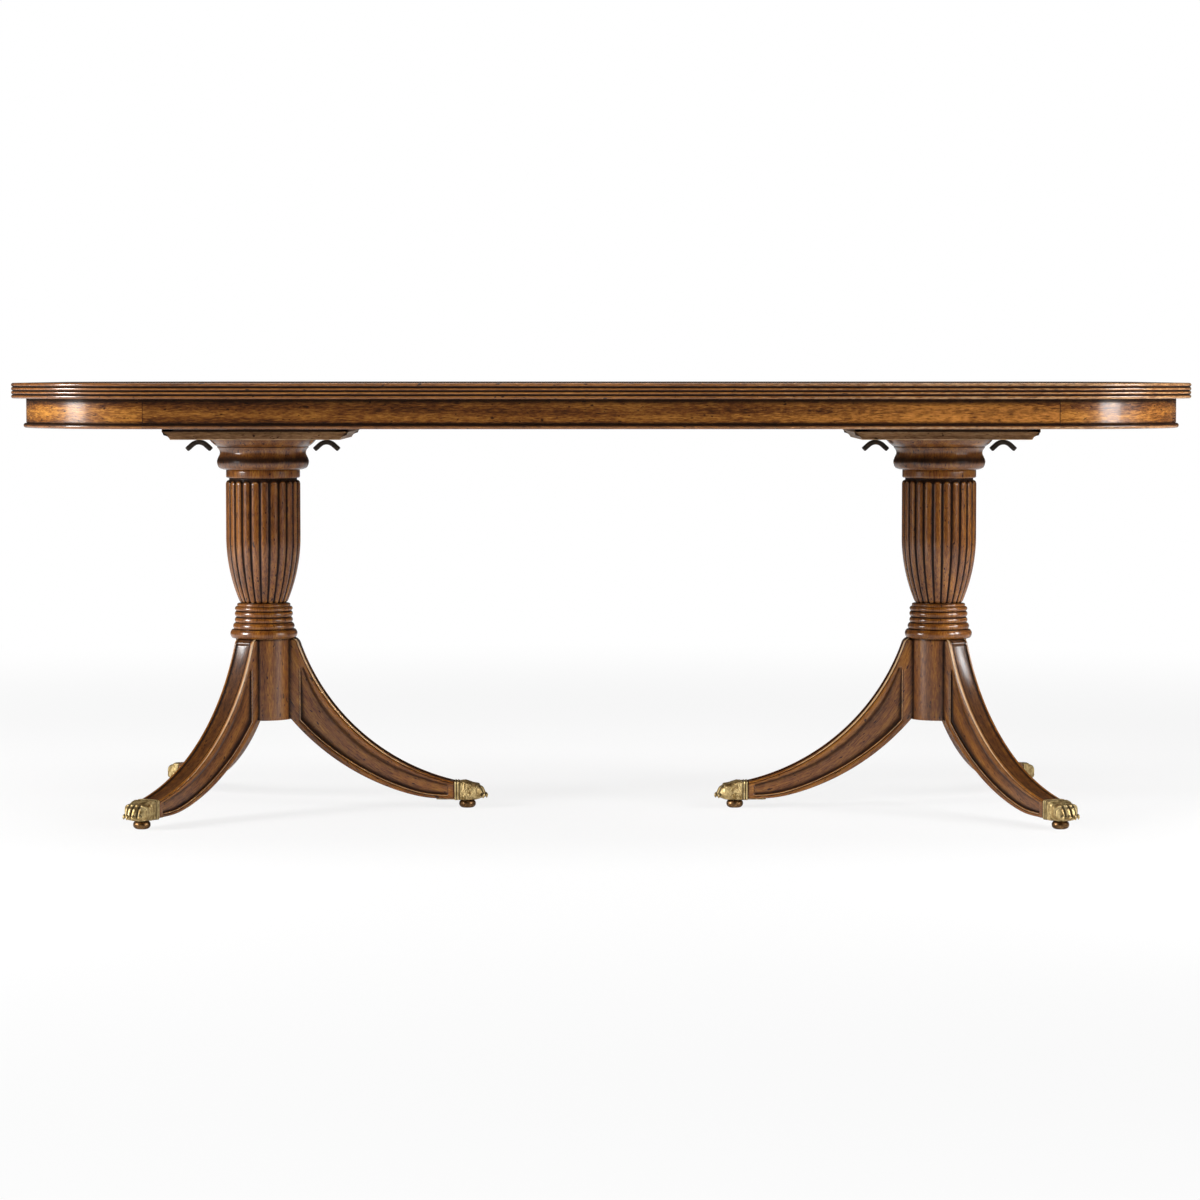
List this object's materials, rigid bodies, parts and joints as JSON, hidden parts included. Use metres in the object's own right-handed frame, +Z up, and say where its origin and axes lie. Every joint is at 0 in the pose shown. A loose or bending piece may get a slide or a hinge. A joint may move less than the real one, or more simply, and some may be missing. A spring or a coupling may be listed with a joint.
{
  "type": "dining table",
  "caption": "Rounded rectangular dining table with a reeded edge, on double pedestals with reeded vase columns, sabre legs and cast paw caps, the top held down by wing nuts",
  "frame": {"origin": "on the floor, under the middle of the table", "axes": "+X along the length of the top, +Z up, -Y towards the front"},
  "size_m": [2, 1.118, 0.762],
  "materials": {
    "walnut": "satin, worn",
    "frame_wood": "plain sanded",
    "paw_brass": "cast, aged",
    "glide_bronze": "dark bronzed",
    "black_iron": "black oiled",
    "steel": "zinc plated"
  },
  "bodies": {
    "table": {"apron_back": "walnut", "apron_front": "walnut", "apron_left": "walnut", "apron_right": "walnut", "bead_back": "walnut", "bead_front": "walnut", "bead_left": "walnut", "bead_right": "walnut", "cap_screws": "steel", "cross_rail_left_inner": "frame_wood", "cross_rail_left_outer": "frame_wood", "cross_rail_right_inner": "frame_wood", "cross_rail_right_outer": "frame_wood", "edge_back": "walnut", "edge_front": "walnut", "edge_left": "walnut", "edge_right": "walnut", "hanger_studs": "steel", "left_bearer_board": "walnut", "left_capital": "walnut", "left_column": "walnut", "left_drum": "walnut", "left_glide_back": "glide_bronze", "left_glide_front": "glide_bronze", "left_glide_inward": "glide_bronze", "left_leg_back": "walnut", "left_leg_front": "walnut", "left_leg_inward": "walnut", "left_paw_back": "paw_brass", "left_paw_front": "paw_brass", "left_paw_inward": "paw_brass", "left_tie_plate": "steel", "plate_screws": "steel", "right_bearer_board": "walnut", "right_capital": "walnut", "right_column": "walnut", "right_drum": "walnut", "right_glide_back": "glide_bronze", "right_glide_front": "glide_bronze", "right_glide_inward": "glide_bronze", "right_leg_back": "walnut", "right_leg_front": "walnut", "right_leg_inward": "walnut", "right_paw_back": "paw_brass", "right_paw_front": "paw_brass", "right_paw_inward": "paw_brass", "right_tie_plate": "steel", "top_panel": "walnut", "top_screws": "steel"},
    "left_washer_outer": {"left_washer_outer": "black_iron"},
    "left_wing_nut_outer": {"left_wing_nut_outer": "black_iron"},
    "left_washer_inner": {"left_washer_inner": "black_iron"},
    "left_wing_nut_inner": {"left_wing_nut_inner": "black_iron"},
    "right_washer_inner": {"right_washer_inner": "black_iron"},
    "right_wing_nut_inner": {"right_wing_nut_inner": "black_iron"},
    "right_washer_outer": {"right_washer_outer": "black_iron"},
    "right_wing_nut_outer": {"right_wing_nut_outer": "black_iron"}
  },
  "joints": [
    {"name": "left_outer_drop", "type": "slide", "parent": "table", "child": "left_washer_outer", "axis": [0, 0, -1], "range_m": [0, 0.00656]},
    {"name": "left_outer_turn", "type": "hinge", "parent": "left_washer_outer", "child": "left_wing_nut_outer", "pos_m": [-0.718, 0, 0.6595], "axis": [0, 0, -1], "range_deg": [0, 1890]},
    {"name": "left_inner_drop", "type": "slide", "parent": "table", "child": "left_washer_inner", "axis": [0, 0, -1], "range_m": [0, 0.00656]},
    {"name": "left_inner_turn", "type": "hinge", "parent": "left_washer_inner", "child": "left_wing_nut_inner", "pos_m": [-0.49, 0, 0.6595], "axis": [0, 0, -1], "range_deg": [0, 1890]},
    {"name": "right_inner_drop", "type": "slide", "parent": "table", "child": "right_washer_inner", "axis": [0, 0, -1], "range_m": [0, 0.00656]},
    {"name": "right_inner_turn", "type": "hinge", "parent": "right_washer_inner", "child": "right_wing_nut_inner", "pos_m": [0.49, 0, 0.6595], "axis": [0, 0, -1], "range_deg": [0, 1890]},
    {"name": "right_outer_drop", "type": "slide", "parent": "table", "child": "right_washer_outer", "axis": [0, 0, -1], "range_m": [0, 0.00656]},
    {"name": "right_outer_turn", "type": "hinge", "parent": "right_washer_outer", "child": "right_wing_nut_outer", "pos_m": [0.718, 0, 0.6595], "axis": [0, 0, -1], "range_deg": [0, 1890]}
  ],
  "couplings": [
    {"joint": "left_outer_drop", "follows": "left_outer_turn", "m_per_rad": 0.00019894},
    {"joint": "left_inner_drop", "follows": "left_inner_turn", "m_per_rad": 0.00019894},
    {"joint": "right_inner_drop", "follows": "right_inner_turn", "m_per_rad": 0.00019894},
    {"joint": "right_outer_drop", "follows": "right_outer_turn", "m_per_rad": 0.00019894}
  ]
}
